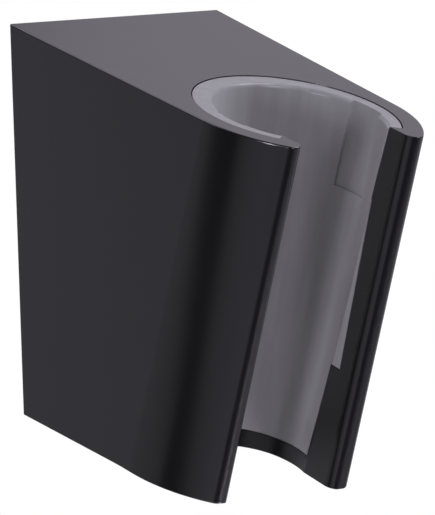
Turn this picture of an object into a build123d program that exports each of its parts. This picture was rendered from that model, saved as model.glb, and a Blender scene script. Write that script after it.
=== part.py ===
import os
from math import acos, atan2, cos, degrees, hypot, radians, sin, sqrt, tan

from build123d import *

# Overall sizes, in millimetres and degrees
back_width = 37.0
back_height = 53.4
nose_lean = 19.6
top_slope = 17.1
nose_reach = 39.55
nose_radius = 17.1
nose_length = 49.2
foot_turn = 19.6
foot_blend = 60.0
cheek_round = 1.65
edge_round = 0.2

# Socket and slot
bore_lean = 15.45
bore_shift = 0.6
bore_top_radius = 11.8
bore_foot_radius = 9.45
foot_ledge = 2.3
slot_width = 18.3
slot_draft = 0.38
mouth_turn = 78.0
mouth_run = 6.0

# Liner
seat_lean = 14.7
seat_top_radius = 14.25
seat_foot_radius = 11.1
seat_gap = 0.15
foot_gap = 0.1
tab_gap = 0.1
ring_round = 0.55
ring_drop = 0.1
jamb_reach = 8.0
jamb_lean = 2.1
jamb_splay = 31.0
tab_high = 8.6
tab_foot = 32.9
tab_front_high = 7.85
tab_front_foot = 8.95
tab_back = 4.0
tab_thick = 2.0
pocket_width = 5.8
pocket_depth = 10.2
pocket_sink = 0.6
pocket_fade = 0.25

# Hollow back and fixing
shell_wall = 2.4
tube_wall = 1.8
hollow_setback = 13.0
hollow_round = 1.2
rib_wall = 2.0
boss_diameter = 13.0
screw_hole = 4.8
screw_head = 9.4
screw_seat = 8.0
screw_pitch = 24.0

# Working allowances
overshoot = 40.0
cone_overrun = 10.0
level_share = 0.7

# Derived directions: the nose, seat and bore axes all lie in the middle plane
nose_up = (0, -sin(radians(nose_lean)), cos(radians(nose_lean)))
nose_front = (0, -cos(radians(nose_lean)), -sin(radians(nose_lean)))
seat_up = (0, -sin(radians(seat_lean)), cos(radians(seat_lean)))
seat_front = (0, -cos(radians(seat_lean)), -sin(radians(seat_lean)))
bore_up = (0, -sin(radians(bore_lean)), cos(radians(bore_lean)))
bore_front = (0, -cos(radians(bore_lean)), -sin(radians(bore_lean)))
jamb_up = (0, -sin(radians(nose_lean + jamb_lean)), cos(radians(nose_lean + jamb_lean)))
top_z = back_height / 2
bottom_z = -back_height / 2
bore_length = nose_length - foot_ledge
nose_plane = Plane(origin=(0, 0, top_z), x_dir=(1, 0, 0), z_dir=nose_up)
nose_centre = nose_plane.from_local_coords((0, -nose_reach, 0))
bore_centre = nose_plane.from_local_coords((0, -nose_reach - bore_shift, 0))
seat_section = Plane(origin=nose_centre, x_dir=(1, 0, 0), z_dir=seat_front)
seat_axis = Axis(nose_centre, seat_up)
seat_rate = (seat_top_radius - seat_foot_radius) / bore_length
bore_section = Plane(origin=bore_centre, x_dir=(1, 0, 0), z_dir=bore_front)
bore_plane = Plane(origin=bore_centre, x_dir=(1, 0, 0), z_dir=bore_up)
bore_axis = Axis(bore_centre, bore_up)
bore_rate = (bore_top_radius - bore_foot_radius) / bore_length
jamb_plane = Plane(origin=nose_centre, x_dir=(1, 0, 0), z_dir=jamb_up)

# Derived plan: each side is tangent to the nose, and each cheek ends in one full round
half_back = back_width / 2
half_slot = slot_width / 2
side_taper = acos(nose_radius / hypot(nose_reach, half_back)) - atan2(nose_reach, half_back)
tangent_x = nose_radius * cos(side_taper)
tangent_y = -nose_reach - nose_radius * sin(side_taper)
round_reach = sqrt((nose_radius - cheek_round) ** 2 - (half_slot + cheek_round) ** 2)
cheek_reach = round_reach + cheek_round
cheek_x = sqrt(nose_radius**2 - cheek_reach**2)
cheek_y = -nose_reach - cheek_reach
bore_drift = bore_length * sin(radians(nose_lean - bore_lean))
slot_start = -nose_reach - bore_shift - bore_drift
back_x = half_back + overshoot * tan(side_taper)
arc_angle = (atan2(tangent_y + nose_reach, tangent_x) + atan2(-cheek_reach, cheek_x)) / 2
arc_x = nose_radius * cos(arc_angle)
arc_y = -nose_reach + nose_radius * sin(arc_angle)

# Derived side outline: the underside falls to the nose foot, then turns square to the nose
top_front = -overshoot * 2 * tan(radians(top_slope))
foot_z = top_z - nose_length / cos(radians(nose_lean))
foot_front = foot_z - overshoot * 2 * tan(radians(nose_lean))
turn_z = foot_z - foot_turn * tan(radians(nose_lean))
bottom_slope = degrees(atan2(bottom_z - turn_z, foot_turn))
bottom_front = -overshoot * 2 * tan(radians(bottom_slope))

# Outer moulding: plan outline along the nose axis, cut to the side outline
with BuildPart() as moulding:
    with BuildSketch(nose_plane):
        with BuildLine():
            Line((back_x, overshoot), (tangent_x, tangent_y))
            ThreePointArc((tangent_x, tangent_y), (arc_x, arc_y), (cheek_x, cheek_y))
            Line((cheek_x, cheek_y), (-cheek_x, cheek_y))
            ThreePointArc((-cheek_x, cheek_y), (-arc_x, arc_y), (-tangent_x, tangent_y))
            Line((-tangent_x, tangent_y), (-back_x, overshoot))
            Line((-back_x, overshoot), (back_x, overshoot))
        make_face()
        cheek_corners = vertices().group_by(Axis.Y)[0]
        fillet(cheek_corners, radius=cheek_round)
    extrude(amount=back_height + overshoot * 2, both=True)
    with BuildSketch(Plane.YZ):
        with BuildLine():
            Polyline(
                (0, bottom_z),
                (0, top_z),
                (-overshoot * 2, top_z + top_front),
                (-overshoot * 2, foot_front),
                (-foot_turn, turn_z),
                close=True,
            )
        make_face()
        underside_turn = vertices().sort_by_distance((-foot_turn, turn_z, 0))[0]
        fillet(underside_turn, radius=foot_blend)
    extrude(amount=back_width, both=True, mode=Mode.INTERSECT)
    rim_faces = faces().filter_by(lambda f: abs(f.normal_at().Z) > level_share)
    rim_edges = rim_faces.edges().filter_by(lambda e: e.center().Y < -edge_round)
    across = rim_edges.filter_by(Axis.X).filter_by(lambda e: e.length > tangent_x * 2)
    fillet(rim_edges - across, radius=edge_round)

# Full bore: one cone that both mouldings share
with BuildPart() as bore:
    with BuildSketch(bore_section):
        with BuildLine():
            Polyline(
                (0, overshoot),
                (bore_top_radius + overshoot * bore_rate, overshoot),
                (bore_foot_radius - cone_overrun * bore_rate, -bore_length - cone_overrun),
                (0, -bore_length - cone_overrun),
                close=True,
            )
        make_face()
    revolve(axis=bore_axis)

# Slot down the front, narrower towards the foot: its mouth turns through the inner half of
# each cheek's round
draft = radians(slot_draft)
slot_up = (sin(draft), nose_up[1] * cos(draft), nose_up[2] * cos(draft))
slot_side = (cos(draft), -nose_up[1] * sin(draft), -nose_up[2] * sin(draft))
slot_middle = nose_plane.from_local_coords((0, 0, -nose_length / 2))
slot_plane = Plane(origin=slot_middle, x_dir=slot_side, z_dir=slot_up)
slot_lap = -half_slot / 2
mouth_start = -nose_reach - round_reach
mouth_end = mouth_start - mouth_run
with BuildPart() as slot:
    with BuildSketch(slot_plane):
        with BuildLine():
            Line((half_slot, slot_start), (half_slot, mouth_start))
            JernArc((half_slot, mouth_start), (0, -1), cheek_round, mouth_turn)
            Line(edges()[-1] @ 1, (half_slot + cheek_round, mouth_end))
            Line((half_slot + cheek_round, mouth_end), (slot_lap, mouth_end))
            Line((slot_lap, mouth_end), (slot_lap, slot_start))
            Line((slot_lap, slot_start), (half_slot, slot_start))
        make_face()
    extrude(amount=overshoot * 2, both=True)
    mirror(about=Plane.YZ)

# Part of the nose in front of the liner, splayed outwards from the slot
splay_x = nose_radius * 2
splay_y = jamb_reach + (splay_x - half_slot) * tan(radians(jamb_splay))
with BuildPart() as jambs:
    with BuildSketch(jamb_plane):
        with BuildLine():
            Polyline(
                (half_slot, -jamb_reach),
                (splay_x, -splay_y),
                (splay_x, -overshoot * 2),
                (-splay_x, -overshoot * 2),
                (-splay_x, -splay_y),
                (-half_slot, -jamb_reach),
                close=True,
            )
        make_face()
    extrude(amount=overshoot * 2, both=True)

# Seat for the liner: a wider cone that stops at the ledge and behind the jambs
with BuildPart() as seat:
    with BuildSketch(seat_section):
        with BuildLine():
            Polyline(
                (0, overshoot),
                (seat_top_radius + overshoot * seat_rate, overshoot),
                (seat_foot_radius - cone_overrun * seat_rate, -bore_length - cone_overrun),
                (0, -bore_length - cone_overrun),
                close=True,
            )
        make_face()
    revolve(axis=seat_axis)
    with BuildSketch(nose_plane.offset(-bore_length)):
        with Locations((0, -nose_reach)):
            Rectangle(overshoot * 2, overshoot * 2)
    extrude(amount=-overshoot, mode=Mode.SUBTRACT)
    add(jambs.part, mode=Mode.SUBTRACT)

# Windows in the jambs for the liner tabs, drawn as reach from the wall edge against depth
tab_plane = Plane(origin=(0, 0, top_z), x_dir=nose_front, z_dir=(1, 0, 0))
tab_run = (tab_front_foot - tab_front_high) / (tab_foot - tab_high)
tab_edge = (1 - tab_run) * tab_gap
tab_heel = (1 + tab_run) * tab_gap
with BuildPart() as windows:
    with BuildSketch(tab_plane.offset(half_slot - tab_thick)):
        with BuildLine():
            Polyline(
                (nose_reach + tab_back, tab_high - tab_gap),
                (nose_reach + tab_front_high + tab_edge, tab_high - tab_gap),
                (nose_reach + tab_front_foot + tab_heel, tab_foot + tab_gap),
                (nose_reach + tab_back, tab_foot + tab_gap),
                close=True,
            )
        make_face()
    extrude(amount=2 * tab_thick + seat_gap)
    add(bore.part, mode=Mode.SUBTRACT)
    mirror(about=Plane.YZ)

# Hollow back around the seat tube, two bosses and a middle rib
hollow_front = nose_reach - hollow_setback
hollow_back_x = back_x - shell_wall / cos(side_taper)
hollow_front_x = half_back - hollow_front * tan(side_taper) - shell_wall / cos(side_taper)
hollow_top = top_z - shell_wall / cos(radians(top_slope))
hollow_bottom = bottom_z + shell_wall / cos(radians(bottom_slope))
screw_high = screw_pitch / 2
screw_low = -screw_pitch / 2
wall_plane = Plane(origin=(0, 0, 0), x_dir=(1, 0, 0), z_dir=(0, -1, 0))
with BuildPart() as hollow:
    with BuildSketch(nose_plane):
        with BuildLine():
            Polyline(
                (hollow_back_x, overshoot),
                (hollow_front_x, -hollow_front),
                (-hollow_front_x, -hollow_front),
                (-hollow_back_x, overshoot),
                close=True,
            )
        make_face()
    extrude(amount=back_height + overshoot * 2, both=True)
    with BuildSketch(Plane.YZ):
        with BuildLine():
            Polyline(
                (0, hollow_bottom),
                (0, hollow_top),
                (-overshoot * 2, hollow_top + top_front),
                (-overshoot * 2, hollow_bottom + bottom_front),
                close=True,
            )
        make_face()
    extrude(amount=back_width, both=True, mode=Mode.INTERSECT)
    deep_edges = edges().filter_by(lambda e: e.center().Y < -hollow_round)
    fillet(deep_edges, radius=hollow_round)
    with BuildSketch(seat_section):
        with BuildLine():
            Polyline(
                (0, overshoot),
                (seat_top_radius + tube_wall + overshoot * seat_rate, overshoot),
                (seat_foot_radius + tube_wall - cone_overrun * seat_rate, -bore_length - cone_overrun),
                (0, -bore_length - cone_overrun),
                close=True,
            )
        make_face()
    revolve(axis=seat_axis, mode=Mode.SUBTRACT)
    with BuildSketch(wall_plane):
        Rectangle(rib_wall, back_height * 2)
        with Locations((0, screw_high), (0, screw_low)):
            Circle(boss_diameter / 2)
    extrude(amount=overshoot, mode=Mode.SUBTRACT)

# Screw holes with head seats sunk behind the liner
with BuildPart() as fixings:
    with BuildSketch(wall_plane):
        with Locations((0, screw_high), (0, screw_low)):
            Circle(screw_hole / 2)
    extrude(amount=screw_seat + screw_hole)
    with BuildSketch(wall_plane.offset(screw_seat)):
        with Locations((0, screw_high), (0, screw_low)):
            Circle(screw_head / 2)
    extrude(amount=nose_reach - bore_top_radius - screw_seat)

# Holder body
with BuildPart() as holder_body:
    add(moulding.part)
    add(hollow.part, mode=Mode.SUBTRACT)
    add(seat.part, mode=Mode.SUBTRACT)
    add(bore.part, mode=Mode.SUBTRACT)
    add(slot.part, mode=Mode.SUBTRACT)
    add(windows.part, mode=Mode.SUBTRACT)
    add(fixings.part, mode=Mode.SUBTRACT)

# Liner blank: the seat's shape less its gaps
ring_z = top_z - ring_drop / cos(radians(top_slope))
with BuildPart() as liner_blank:
    with BuildSketch(seat_section):
        with BuildLine():
            Polyline(
                (0, overshoot),
                (seat_top_radius - seat_gap + overshoot * seat_rate, overshoot),
                (seat_foot_radius - seat_gap - cone_overrun * seat_rate, -bore_length - cone_overrun),
                (0, -bore_length - cone_overrun),
                close=True,
            )
        make_face()
    revolve(axis=seat_axis)
    with BuildSketch(nose_plane.offset(-bore_length + foot_gap)):
        with Locations((0, -nose_reach)):
            Rectangle(overshoot * 2, overshoot * 2)
    extrude(amount=-overshoot, mode=Mode.SUBTRACT)
    with BuildSketch(Plane.YZ):
        with BuildLine():
            Polyline(
                (0, ring_z),
                (-overshoot * 2, ring_z + top_front),
                (-overshoot * 2, ring_z + overshoot),
                (0, ring_z + overshoot),
                close=True,
            )
        make_face()
    extrude(amount=back_width, both=True, mode=Mode.SUBTRACT)

# Tabs that fill the windows, trimmed to the liner wall
with BuildPart() as tabs:
    with BuildSketch(tab_plane.offset(half_slot)):
        with BuildLine():
            Polyline(
                (nose_reach + tab_back, tab_high),
                (nose_reach + tab_front_high, tab_high),
                (nose_reach + tab_front_foot, tab_foot),
                (nose_reach + tab_back, tab_foot),
                close=True,
            )
        make_face()
    extrude(amount=tab_thick)
    mirror(about=Plane.YZ)
    add(liner_blank.part, mode=Mode.INTERSECT)
    add(bore.part, mode=Mode.SUBTRACT)

# Pockets at both sides of the socket, fading out downwards
pocket_low_radius = bore_top_radius - pocket_depth * bore_rate + pocket_fade
pocket_run = (bore_top_radius + pocket_sink - pocket_low_radius) / pocket_depth
with BuildPart() as pockets:
    with BuildSketch(bore_section):
        with BuildLine():
            Polyline(
                (0, cone_overrun),
                (bore_top_radius + pocket_sink + pocket_run * cone_overrun, cone_overrun),
                (pocket_low_radius, -pocket_depth),
                (0, -pocket_depth),
                close=True,
            )
        make_face()
    revolve(axis=bore_axis)
    with BuildSketch(bore_plane):
        Rectangle(overshoot * 2, pocket_width)
    extrude(amount=overshoot, both=True, mode=Mode.INTERSECT)

# Socket liner: ring edge first, then the C opening, tabs and pockets
with BuildPart() as socket_liner:
    add(liner_blank.part)
    add(bore.part, mode=Mode.SUBTRACT)
    ring_edge = faces().sort_by(Axis.Z)[-1].inner_wires()[0].edges()
    fillet(ring_edge, radius=ring_round)
    with Locations((0, seat_gap * cos(radians(nose_lean)), seat_gap * sin(radians(nose_lean)))):
        add(jambs.part, mode=Mode.SUBTRACT)
    add(tabs.part)
    add(pockets.part, mode=Mode.SUBTRACT)

holder_body.part.label = "holder_body"
socket_liner.part.label = "socket_liner"

os.makedirs("parts", exist_ok=True)
export_step(holder_body.part, "parts/holder_body.step")
export_step(socket_liner.part, "parts/socket_liner.step")
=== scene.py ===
"""Looks of a wall-mounted hand shower holder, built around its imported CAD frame."""

import logging
import math
from dataclasses import dataclass, field
from enum import Enum

import bpy
from mathutils import Matrix, Quaternion, Vector


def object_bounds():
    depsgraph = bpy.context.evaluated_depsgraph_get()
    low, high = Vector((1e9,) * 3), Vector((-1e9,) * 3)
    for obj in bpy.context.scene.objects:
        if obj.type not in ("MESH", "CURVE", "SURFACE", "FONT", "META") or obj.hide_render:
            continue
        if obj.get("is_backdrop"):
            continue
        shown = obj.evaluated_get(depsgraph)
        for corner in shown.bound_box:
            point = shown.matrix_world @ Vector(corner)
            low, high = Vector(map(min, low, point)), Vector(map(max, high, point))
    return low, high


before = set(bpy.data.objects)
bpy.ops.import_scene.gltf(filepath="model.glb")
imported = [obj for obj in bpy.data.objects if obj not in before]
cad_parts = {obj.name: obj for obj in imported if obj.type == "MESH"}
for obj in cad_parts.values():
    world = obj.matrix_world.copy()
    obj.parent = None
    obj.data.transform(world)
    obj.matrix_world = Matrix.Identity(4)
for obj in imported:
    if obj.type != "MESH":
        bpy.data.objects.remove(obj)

Colour = tuple[float, float, float]
Point = tuple[float, float, float]

LOG = logging.getLogger("hand_shower_holder")
MILLIMETRE = 0.001
QUARTER_TURN = 90.0
WHITE: Colour = (1.0, 1.0, 1.0)

# Span that holds nearly all the values of a noise texture
NOISE_LOW = 0.3
NOISE_HIGH = 0.7

# Levels of finer noise within the colour, the gloss and the grain of a plastic
COLOUR_DETAIL = 3.0
GLOSS_DETAIL = 4.0
GRAIN_DETAIL = 2.0


class Node(Enum):
    """The CAD nodes that this scene dresses."""

    HOLDER_BODY = "holder_body"
    SOCKET_LINER = "socket_liner"


class Slot(Enum):
    """The record's material slots."""

    BODY_BLACK = "body_black"
    LINER_GREY = "liner_grey"


class NodeBench:
    """Lays out one shader tree, with short calls for its nodes and links."""

    def __init__(self, tree: bpy.types.NodeTree) -> None:
        """Keep the tree and clear it."""
        self.tree = tree
        self.tree.nodes.clear()

    def add(self, kind: str, label: str, **settings: object) -> bpy.types.Node:
        """Add a node.

        Args:
            kind: Blender's name for the node type.
            label: Words shown on the node.
            **settings: Properties to set on the node.

        Returns:
            The new node.
        """
        node = self.tree.nodes.new(kind)
        node.label = label
        for name, value in settings.items():
            setattr(node, name, value)
        return node

    def link(self, source: bpy.types.NodeSocket, target: bpy.types.NodeSocket) -> None:
        """Join an output socket to an input socket."""
        self.tree.links.new(source, target)

    def noise(
        self, label: str, size: float, detail: float, spot: bpy.types.NodeSocket
    ) -> bpy.types.NodeSocket:
        """Add a noise texture.

        Args:
            label: Words shown on the node.
            size: Size of one blotch of the noise, in metres.
            detail: Levels of finer noise within it.
            spot: The coordinates that it reads.

        Returns:
            The socket of its values.
        """
        texture = self.add("ShaderNodeTexNoise", label)
        texture.inputs["Scale"].default_value = 1.0 / size
        texture.inputs["Detail"].default_value = detail
        self.link(spot, texture.inputs["Vector"])
        return texture.outputs["Fac"]

    def within(
        self, label: str, value: bpy.types.NodeSocket, low: float, high: float
    ) -> bpy.types.NodeSocket:
        """Test whether a value lies within a span.

        Args:
            label: Words shown on the node.
            value: The value to test.
            low: Lower end of the span.
            high: Upper end of the span.

        Returns:
            The socket that gives 1 inside the span and 0 outside it.
        """
        test = self.add("ShaderNodeMath", label, operation="COMPARE")
        test.inputs[1].default_value = (low + high) / 2.0
        test.inputs[2].default_value = (high - low) / 2.0
        self.link(value, test.inputs[0])
        return test.outputs["Value"]

    def split_rays(
        self,
        lit: bpy.types.NodeSocket,
        seen: bpy.types.NodeSocket,
        output: bpy.types.Node,
    ) -> None:
        """Show one shader to the camera and another to all other rays.

        Args:
            lit: The shader that lights the object.
            seen: The shader that the camera sees.
            output: The output node of the tree.
        """
        rays = self.add("ShaderNodeLightPath", "ray kind")
        choice = self.add("ShaderNodeMixShader", "camera or light")
        self.link(rays.outputs["Is Camera Ray"], choice.inputs["Fac"])
        self.link(lit, choice.inputs[1])
        self.link(seen, choice.inputs[2])
        self.link(choice.outputs["Shader"], output.inputs["Surface"])


@dataclass(frozen=True)
class CoreSkin:
    """The rougher skin that the core of the mould leaves on the walls of the slot.

    Attributes:
        lean: Lean of the slot from upright, in radians.
        root: Distance ahead, square to the slot, at which its walls start, in metres.
        mouth: Distance ahead at which they turn out to the nose, in metres.
        half_width: Distance from the middle plane that takes in both walls, in metres.
        roughness: Roughness of the skin.
    """

    lean: float
    root: float
    mouth: float
    half_width: float
    roughness: float

    def over(
        self,
        bench: NodeBench,
        spot: bpy.types.NodeSocket,
        outer: bpy.types.NodeSocket,
    ) -> bpy.types.NodeSocket:
        """Lay this skin over the outer one.

        Args:
            bench: The tree in work.
            spot: The coordinates on the piece.
            outer: The roughness of the outer skin.

        Returns:
            The roughness socket.
        """
        ahead = bench.add("ShaderNodeVectorMath", "distance ahead", operation="DOT_PRODUCT")
        ahead.inputs[1].default_value = (0.0, -math.cos(self.lean), -math.sin(self.lean))
        bench.link(spot, ahead.inputs[0])
        aside = bench.add("ShaderNodeSeparateXYZ", "distance aside")
        bench.link(spot, aside.inputs["Vector"])
        depth = bench.within("root to mouth", ahead.outputs["Value"], self.root, self.mouth)
        width = bench.within(
            "wall to wall", aside.outputs["X"], -self.half_width, self.half_width
        )
        share = bench.add("ShaderNodeMath", "share of core skin", operation="MULTIPLY")
        bench.link(depth, share.inputs[0])
        bench.link(width, share.inputs[1])
        skin = bench.add("ShaderNodeMix", "core or outer skin")
        skin.inputs["B"].default_value = self.roughness
        bench.link(share.outputs["Value"], skin.inputs["Factor"])
        bench.link(outer, skin.inputs["A"])
        return skin.outputs["Result"]


@dataclass(frozen=True)
class MouldedPlastic:
    """A moulded plastic skin: fine spark-eroded grain, slight mottle and uneven gloss.

    Attributes:
        name: The material's name.
        colour: Linear base colour.
        mottle: Share by which the colour drifts lighter and darker.
        roughness: Mean roughness of the skin.
        gloss_drift: Amount by which the roughness wanders.
        specular: Specular level of the shader.
        grain_size: Size of one grain of the texture, in metres.
        grain_height: Height of the grain, in metres.
        colour_streak: Width of one streak of the colour drift, in metres.
        gloss_streak: Width of one streak of the gloss drift, in metres.
        draw_stretch: Stretch of both drifts along the draw of the mould.
        draw_lean: Lean of the draw direction from upright, in radians.
        core: The skin that the core of the mould leaves, where it differs.
    """

    name: str
    colour: Colour
    mottle: float
    roughness: float
    gloss_drift: float
    specular: float
    grain_size: float
    grain_height: float
    colour_streak: float
    gloss_streak: float
    draw_stretch: float
    draw_lean: float
    core: CoreSkin | None = None

    def build(self) -> bpy.types.Material:
        """Make the material.

        Returns:
            The finished material.
        """
        material = bpy.data.materials.new(self.name)
        material.use_nodes = True
        bench = NodeBench(material.node_tree)
        output = bench.add("ShaderNodeOutputMaterial", "surface")
        skin = bench.add("ShaderNodeBsdfPrincipled", "plastic skin")
        skin.inputs["Specular IOR Level"].default_value = self.specular
        bench.link(skin.outputs["BSDF"], output.inputs["Surface"])
        spot = bench.add("ShaderNodeTexCoord", "place on the piece").outputs["Object"]
        draw = bench.add("ShaderNodeMapping", "draw direction", vector_type="TEXTURE")
        draw.inputs["Rotation"].default_value = (self.draw_lean, 0.0, 0.0)
        draw.inputs["Scale"].default_value = (1.0, 1.0, self.draw_stretch)
        bench.link(spot, draw.inputs["Vector"])
        drawn = draw.outputs["Vector"]
        gloss = self._uneven_gloss(bench, drawn)
        if self.core is not None:
            gloss = self.core.over(bench, spot, gloss)
        bench.link(self._mottled_colour(bench, drawn), skin.inputs["Base Color"])
        bench.link(gloss, skin.inputs["Roughness"])
        bench.link(self._grain(bench, spot), skin.inputs["Normal"])
        return material

    def _mottled_colour(
        self, bench: NodeBench, drawn: bpy.types.NodeSocket
    ) -> bpy.types.NodeSocket:
        """Drift the base colour a little, in streaks along the mould's draw.

        Args:
            bench: The tree in work.
            drawn: The coordinates stretched along the draw.

        Returns:
            The colour socket.
        """
        cloud = bench.noise("colour drift", self.colour_streak, COLOUR_DETAIL, drawn)
        tones = bench.add("ShaderNodeValToRGB", "drift tones")
        low, high = tones.color_ramp.elements
        low.position = NOISE_LOW
        high.position = NOISE_HIGH
        low.color = (*(part * (1.0 - self.mottle) for part in self.colour), 1.0)
        high.color = (*(part * (1.0 + self.mottle) for part in self.colour), 1.0)
        bench.link(cloud, tones.inputs["Fac"])
        return tones.outputs["Color"]

    def _uneven_gloss(
        self, bench: NodeBench, drawn: bpy.types.NodeSocket
    ) -> bpy.types.NodeSocket:
        """Let the roughness wander, in streaks along the mould's draw.

        Args:
            bench: The tree in work.
            drawn: The coordinates stretched along the draw.

        Returns:
            The roughness socket.
        """
        streaks = bench.noise("gloss drift", self.gloss_streak, GLOSS_DETAIL, drawn)
        span = bench.add("ShaderNodeMapRange", "gloss range")
        span.inputs["From Min"].default_value = NOISE_LOW
        span.inputs["From Max"].default_value = NOISE_HIGH
        span.inputs["To Min"].default_value = self.roughness - self.gloss_drift
        span.inputs["To Max"].default_value = self.roughness + self.gloss_drift
        bench.link(streaks, span.inputs["Value"])
        return span.outputs["Result"]

    def _grain(
        self, bench: NodeBench, spot: bpy.types.NodeSocket
    ) -> bpy.types.NodeSocket:
        """Raise the fine grain that the mould leaves on the skin.

        Args:
            bench: The tree in work.
            spot: The coordinates on the piece.

        Returns:
            The normal socket.
        """
        grain = bench.noise("spark-eroded grain", self.grain_size, GRAIN_DETAIL, spot)
        bump = bench.add("ShaderNodeBump", "grain height")
        bump.inputs["Distance"].default_value = self.grain_height
        bench.link(grain, bump.inputs["Height"])
        return bump.outputs["Normal"]


@dataclass
class HolderBody:
    """The black moulding that sits on the wall.

    Attributes:
        nose_lean: Lean of the nose and its slot from upright, in degrees.
        slot_root: Distance ahead, square to the lean, at which the slot's walls start,
            in metres.
        slot_mouth: Distance ahead at which they turn out to the nose, in metres.
        slot_half_width: Distance from the middle plane that takes in both walls, in metres.
        finish: Its plastic.
    """

    nose_lean: float = 19.6
    slot_root: float = 34.3 * MILLIMETRE
    slot_mouth: float = 41.64 * MILLIMETRE
    slot_half_width: float = 9.5 * MILLIMETRE
    finish: MouldedPlastic = field(init=False)

    def __post_init__(self) -> None:
        """Choose the plastic, drawn along the nose and rougher in the slot."""
        lean = math.radians(self.nose_lean)
        self.finish = MouldedPlastic(
            name="satin_black_plastic",
            colour=(0.0043, 0.0039, 0.0050),
            mottle=0.06,
            roughness=0.21,
            gloss_drift=0.006,
            specular=0.8,
            grain_size=0.22 * MILLIMETRE,
            grain_height=0.0006 * MILLIMETRE,
            colour_streak=9.0 * MILLIMETRE,
            gloss_streak=2.2 * MILLIMETRE,
            draw_stretch=4.0,
            draw_lean=lean,
            core=CoreSkin(
                lean=lean,
                root=self.slot_root,
                mouth=self.slot_mouth,
                half_width=self.slot_half_width,
                roughness=0.45,
            ),
        )

    def dress(self, piece: bpy.types.Object) -> None:
        """Give the body's CAD node its skin."""
        clothe(piece, self.finish.build())


@dataclass
class SocketLiner:
    """The grey sleeve that holds the hose nut.

    Attributes:
        bore_lean: Lean of the bore from upright, in degrees.
        finish: Its plastic.
    """

    bore_lean: float = 15.45
    finish: MouldedPlastic = field(init=False)

    def __post_init__(self) -> None:
        """Choose the plastic, drawn along the bore."""
        self.finish = MouldedPlastic(
            name="grey_liner_plastic",
            colour=(0.300, 0.300, 0.302),
            mottle=0.08,
            roughness=0.32,
            gloss_drift=0.03,
            specular=0.5,
            grain_size=0.3 * MILLIMETRE,
            grain_height=0.0010 * MILLIMETRE,
            colour_streak=1.8 * MILLIMETRE,
            gloss_streak=2.2 * MILLIMETRE,
            draw_stretch=8.0,
            draw_lean=math.radians(self.bore_lean),
        )

    def dress(self, piece: bpy.types.Object) -> None:
        """Give the liner's CAD node its skin."""
        clothe(piece, self.finish.build())


@dataclass(frozen=True)
class Softbox:
    """A rectangular studio light that faces the object.

    Attributes:
        name: The light's name.
        azimuth: Bearing from +X towards +Y, in degrees.
        elevation: Height above the horizon, in degrees.
        distance: Distance from the object, in metres.
        width: Width in metres.
        height: Height in metres.
        radiance: Brightness of its face, where 1 is white.
        roll: Turn about the line to the object, in degrees.
    """

    name: str
    azimuth: float
    elevation: float
    distance: float
    width: float
    height: float
    radiance: float
    roll: float = 0.0

    def hang(self, aim: Vector, tint: Colour) -> None:
        """Hang the light and turn it to the object.

        Args:
            aim: The point that it faces.
            tint: Colour of its light.
        """
        light = bpy.data.lights.new(self.name, "AREA")
        light.shape = "RECTANGLE"
        light.size = self.width
        light.size_y = self.height
        light.energy = self.radiance * math.pi * self.width * self.height
        light.color = tint
        away = bearing(self.azimuth, self.elevation)
        turn = Quaternion(away, math.radians(self.roll))
        holder = bpy.data.objects.new(self.name, light)
        holder.location = aim + away * self.distance
        holder.rotation_euler = (turn @ away.to_track_quat("Z", "Y")).to_euler()
        holder.visible_camera = False
        bpy.context.scene.collection.objects.link(holder)


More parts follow.
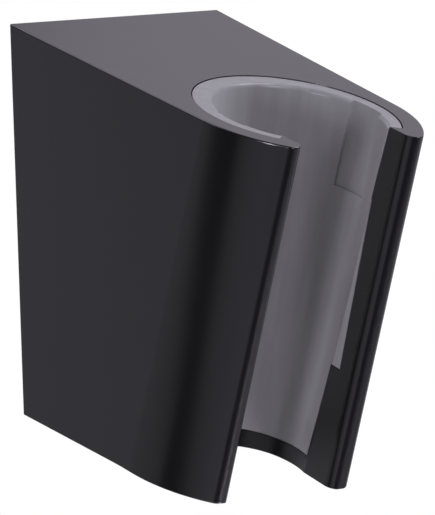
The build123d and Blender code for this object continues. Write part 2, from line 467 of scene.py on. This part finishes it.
@dataclass
class Studio:
    """Pale floor, soft dome and softboxes around the object.

    Attributes:
        aim: The point that the lights face.
        floor_drop: Depth of the floor below the object's lowest point, in metres.
        floor_radius: Radius of the floor, in metres.
        floor_sides: Number of sides of the round floor.
        floor_colour: Linear colour of the floor.
        dome_stops: Height on the unit dome against its brightness, from foot to crown.
        tint: Colour of all the light.
        softboxes: The lights.
    """

    aim: Vector
    floor_drop: float = 0.6
    floor_radius: float = 0.4
    floor_sides: int = 96
    floor_colour: Colour = (0.8, 0.8, 0.8)
    dome_stops: tuple[tuple[float, float], ...] = (
        (-1.0, 0.03),
        (0.0, 0.03),
        (0.4, 0.05),
        (0.6, 0.18),
        (1.0, 0.18),
    )
    tint: Colour = (1.0, 0.965, 1.085)
    # Each light's name, azimuth, elevation, distance, width, height and radiance
    softboxes: tuple[Softbox, ...] = (
        Softbox("left_back_panel", 130.0, -15.0, 0.28, 0.214, 0.36, 0.287, roll=45.0),
        Softbox("left_panel", 203.0, -24.0, 0.28, 0.124, 0.285, 0.25, roll=45.0),
        Softbox("low_right_panel", 330.0, -30.0, 0.8, 0.9, 0.4, 0.2),
        Softbox("back_right_panel", 23.0, 30.0, 0.4, 0.34, 0.3, 0.56),
        Softbox("backdrop_panel", 50.0, -8.0, 0.9, 0.9, 0.5, 0.6),
        Softbox("right_panel", 350.0, -2.0, 0.8, 0.8, 0.6, 0.45),
        Softbox("back_panel", 95.0, 19.0, 0.8, 1.0, 0.5, 1.0),
        Softbox("low_back_panel", 119.0, -5.0, 0.8, 0.28, 0.22, 0.37),
        Softbox("left_key", 214.5, 15.0, 1.2, 0.126, 0.46, 7.0),
        Softbox("front_key", 268.5, 15.0, 1.2, 0.126, 0.46, 21.5),
        Softbox("low_left_key", 208.0, -3.0, 1.2, 0.126, 0.3, 34.0),
        Softbox("under_left_key", 214.0, -51.0, 0.6, 0.12, 0.15, 5.0),
        Softbox("under_right_key", 312.0, -56.0, 0.6, 0.18, 0.18, 27.0),
        Softbox("left_top_key", 120.0, 60.0, 1.0, 0.4, 0.4, 4.0),
        Softbox("right_top_key", 330.0, 50.0, 1.0, 0.4, 0.4, 8.2),
    )

    def build(self, lowest: float) -> None:
        """Lay the floor, set the dome and hang the lights.

        Args:
            lowest: Height of the object's lowest point, in metres.
        """
        self._lay_floor(lowest - self.floor_drop)
        self._set_dome()
        for softbox in self.softboxes:
            softbox.hang(self.aim, self.tint)
            LOG.info("light %s", softbox.name)

    def _lay_floor(self, height: float) -> None:
        """Lay a round pale floor.

        Args:
            height: Its height in metres.
        """
        step = 2.0 * math.pi / self.floor_sides
        ring = [
            (
                self.floor_radius * math.cos(side * step),
                self.floor_radius * math.sin(side * step),
                height,
            )
            for side in range(self.floor_sides)
        ]
        mesh = bpy.data.meshes.new("floor")
        mesh.from_pydata(ring, [], [tuple(range(self.floor_sides))])
        mesh.materials.append(self._floor_paint())
        floor = bpy.data.objects.new("floor", mesh)
        bpy.context.scene.collection.objects.link(floor)
        floor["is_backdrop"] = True

    def _floor_paint(self) -> bpy.types.Material:
        """Mix a pale paint that the camera sees as white.

        Returns:
            The finished material.
        """
        material = bpy.data.materials.new("pale_floor")
        material.use_nodes = True
        bench = NodeBench(material.node_tree)
        output = bench.add("ShaderNodeOutputMaterial", "surface")
        matt = bench.add("ShaderNodeBsdfDiffuse", "pale paint")
        matt.inputs["Color"].default_value = (*self.floor_colour, 1.0)
        glow = bench.add("ShaderNodeEmission", "white to the camera")
        glow.inputs["Color"].default_value = (*WHITE, 1.0)
        bench.split_rays(matt.outputs["BSDF"], glow.outputs["Emission"], output)
        return material

    def _set_dome(self) -> None:
        """Grade the world from its dim foot to its bright crown, white to the camera."""
        world = bpy.data.worlds.new("studio_dome")
        world.use_nodes = True
        bpy.context.scene.world = world
        bench = NodeBench(world.node_tree)
        output = bench.add("ShaderNodeOutputWorld", "world")
        place = bench.add("ShaderNodeTexCoord", "direction")
        parts = bench.add("ShaderNodeSeparateXYZ", "height")
        bench.link(place.outputs["Generated"], parts.inputs["Vector"])
        foot = self.dome_stops[0][0]
        crown = self.dome_stops[-1][0]
        span = bench.add("ShaderNodeMapRange", "height from 0 to 1")
        span.inputs["From Min"].default_value = foot
        span.inputs["From Max"].default_value = crown
        bench.link(parts.outputs["Z"], span.inputs["Value"])
        tones = bench.add("ShaderNodeValToRGB", "dome tones")
        ramp = tones.color_ramp
        ramp.interpolation = "EASE"
        while len(ramp.elements) < len(self.dome_stops):
            ramp.elements.new(1.0)
        for stop, (height, tone) in zip(ramp.elements, self.dome_stops):
            stop.position = (height - foot) / (crown - foot)
            stop.color = (*(tone * part for part in self.tint), 1.0)
        bench.link(span.outputs["Result"], tones.inputs["Fac"])
        dome = bench.add("ShaderNodeBackground", "dome light")
        bench.link(tones.outputs["Color"], dome.inputs["Color"])
        white = bench.add("ShaderNodeBackground", "white to the camera")
        white.inputs["Color"].default_value = (*WHITE, 1.0)
        bench.split_rays(dome.outputs["Background"], white.outputs["Background"], output)


@dataclass(frozen=True)
class PhotoCamera:
    """The photograph's long-lens view.

    Attributes:
        target: Point at the middle of the picture, in metres.
        azimuth: Turn of the view, 0 looking along +Y, in degrees.
        elevation: Height of the view above the horizon, in degrees.
        roll: Turn about the line of sight, in degrees.
        distance: Distance from the target, in metres.
        lens: Focal length for a 36 mm long side, in millimetres.
        nearest: Distance from which things are shown, in metres.
    """

    target: Point = (-2.315 * MILLIMETRE, -23.237 * MILLIMETRE, -5.143 * MILLIMETRE)
    azimuth: float = -40.375
    elevation: float = 4.849
    roll: float = -1.353
    distance: float = 1.0264
    lens: float = 531.3
    nearest: float = 0.01

    def place(self) -> None:
        """Make the camera and set it as the scene's."""
        away = bearing(self.azimuth - QUARTER_TURN, self.elevation)
        level = bearing(self.azimuth, 0.0)
        upright = away.cross(level)
        tilt = math.radians(self.roll)
        right = level * math.cos(tilt) + upright * math.sin(tilt)
        up = upright * math.cos(tilt) - level * math.sin(tilt)
        axes = Matrix((right, up, away)).transposed().to_4x4()
        stand = Vector(self.target) + away * self.distance
        optics = bpy.data.cameras.new("photo_camera")
        optics.lens = self.lens
        optics.clip_start = self.nearest
        camera = bpy.data.objects.new("photo_camera", optics)
        camera.matrix_world = Matrix.Translation(stand) @ axes
        bpy.context.scene.collection.objects.link(camera)
        bpy.context.scene.camera = camera


def bearing(azimuth: float, elevation: float) -> Vector:
    """Turn a bearing and a height into a direction.

    Args:
        azimuth: Bearing from +X towards +Y, in degrees.
        elevation: Height above the horizon, in degrees.

    Returns:
        The unit vector.
    """
    turn = math.radians(azimuth)
    rise = math.radians(elevation)
    return Vector(
        (
            math.cos(turn) * math.cos(rise),
            math.sin(turn) * math.cos(rise),
            math.sin(rise),
        )
    )


def clothe(piece: bpy.types.Object, material: bpy.types.Material) -> None:
    """Put one material all over a piece.

    Args:
        piece: The object to dress.
        material: The material it gets.
    """
    piece.data.materials.clear()
    piece.data.materials.append(material)


def main() -> None:
    """Dress the two mouldings, set up the studio and place the camera."""
    logging.basicConfig(level=logging.INFO, format="%(name)s: %(message)s")
    cad_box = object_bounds()
    bpy.context.scene.view_settings.view_transform = "Standard"
    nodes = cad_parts
    HolderBody().dress(nodes[Node.HOLDER_BODY.value])
    LOG.info("dressed %s", Node.HOLDER_BODY.value)
    SocketLiner().dress(nodes[Node.SOCKET_LINER.value])
    LOG.info("dressed %s", Node.SOCKET_LINER.value)
    lowest, highest = cad_box
    Studio(aim=(lowest + highest) / 2.0).build(lowest.z)
    PhotoCamera().place()
    LOG.info("camera placed")


if __name__ == "__main__":
    main()
